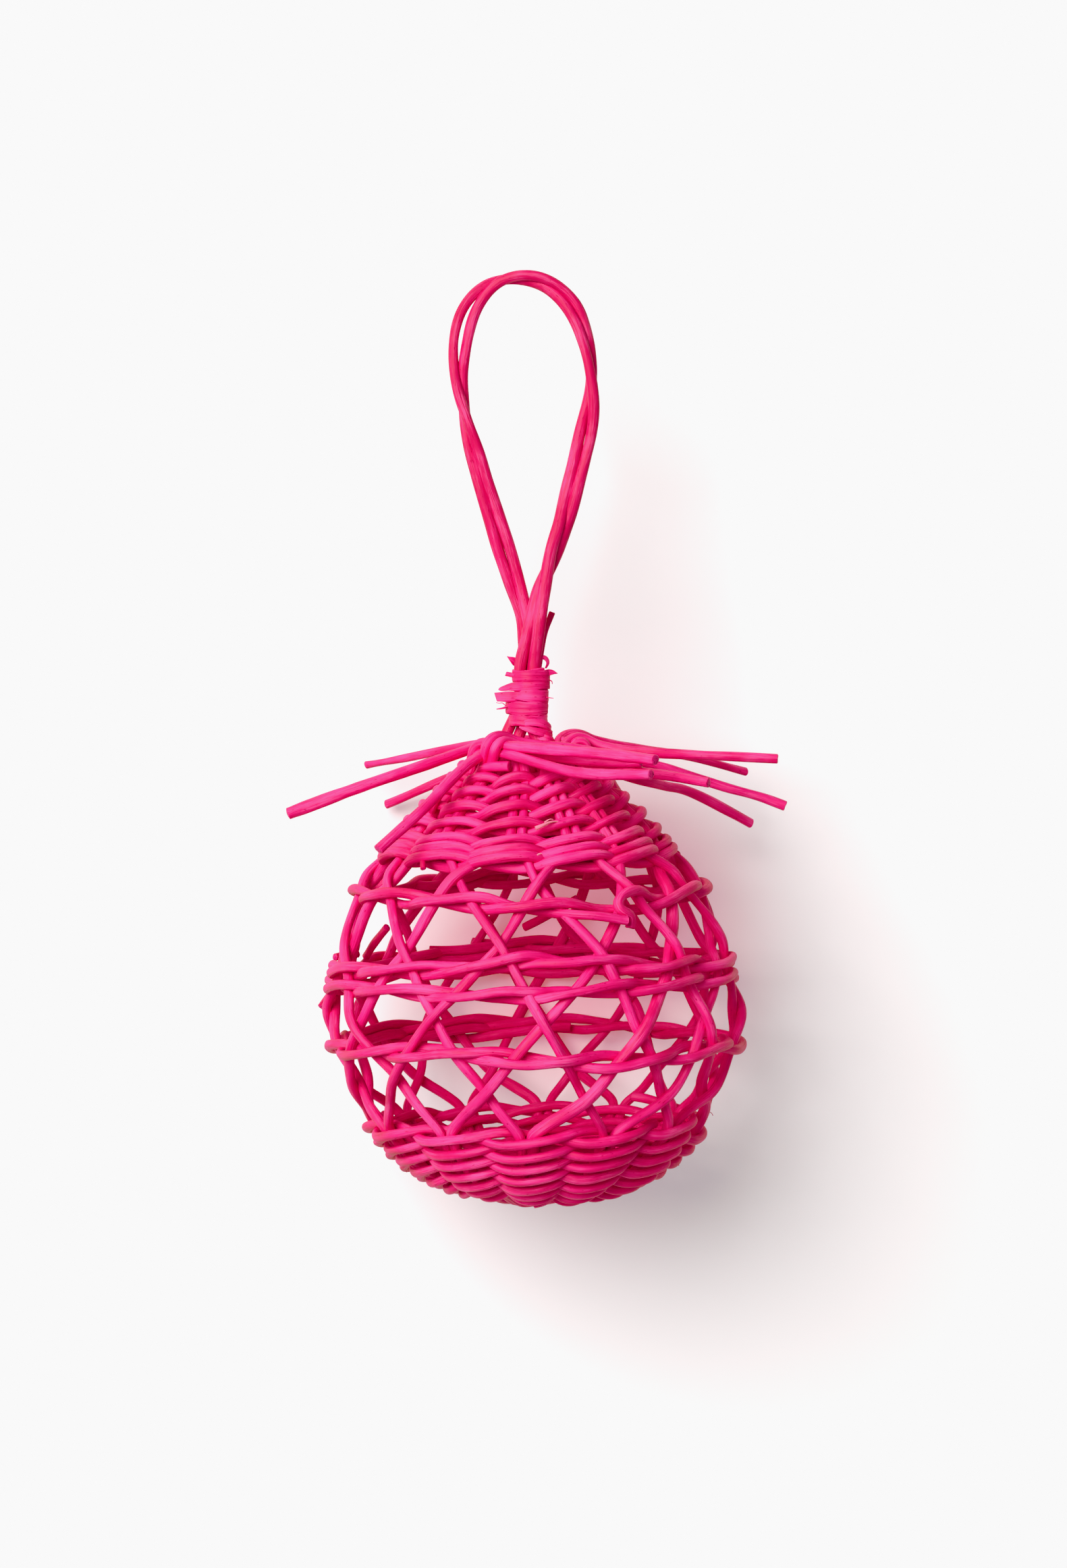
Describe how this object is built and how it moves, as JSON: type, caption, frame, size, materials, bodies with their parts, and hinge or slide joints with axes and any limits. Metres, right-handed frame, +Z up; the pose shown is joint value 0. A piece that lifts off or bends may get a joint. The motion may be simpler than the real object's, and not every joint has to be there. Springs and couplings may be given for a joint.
{
  "type": "woven reed bauble",
  "caption": "Hollow ball ornament woven from dyed round reed, with an open lattice middle, stake ends left long round the neck and a bound hanging loop of twisted reed.",
  "frame": {"origin": "middle of the footprint of the whole ornament as it lies, at the height of the surface it lies on", "axes": "+Y along the ornament from the base of the ball to the top of the loop, +Z up from the surface it lies on, +X to the right"},
  "size_m": [0.12, 0.2224, 0.0999],
  "materials": {
    "stake_reed": "dyed pink round reed, satin, fine lengthwise grain",
    "weaver_reed": "dyed pink round reed, satin, fine lengthwise grain",
    "loop_reed": "dyed pink round reed, satin, smooth",
    "binding_strip": "dyed pink flat split reed, frayed edges"
  },
  "bodies": {
    "root": {"stake_01": "stake_reed", "stake_02": "stake_reed", "stake_03": "stake_reed", "stake_04": "stake_reed", "stake_05": "stake_reed", "stake_06": "stake_reed", "stake_07": "stake_reed", "stake_08": "stake_reed", "stake_09": "stake_reed", "stake_10": "stake_reed", "stake_11": "stake_reed", "stake_12": "stake_reed", "base_weaver_a": "weaver_reed", "base_weaver_b": "weaver_reed", "shoulder_weaver_a": "weaver_reed", "shoulder_weaver_b": "weaver_reed", "band_1_a": "weaver_reed", "band_1_b": "weaver_reed", "band_2_a": "weaver_reed", "band_2_b": "weaver_reed", "band_3_a": "weaver_reed", "band_3_b": "weaver_reed", "band_4_a": "weaver_reed", "band_4_b": "weaver_reed", "loop_reed_a": "loop_reed", "loop_reed_b": "loop_reed", "binding": "binding_strip"}
  },
  "joints": []
}
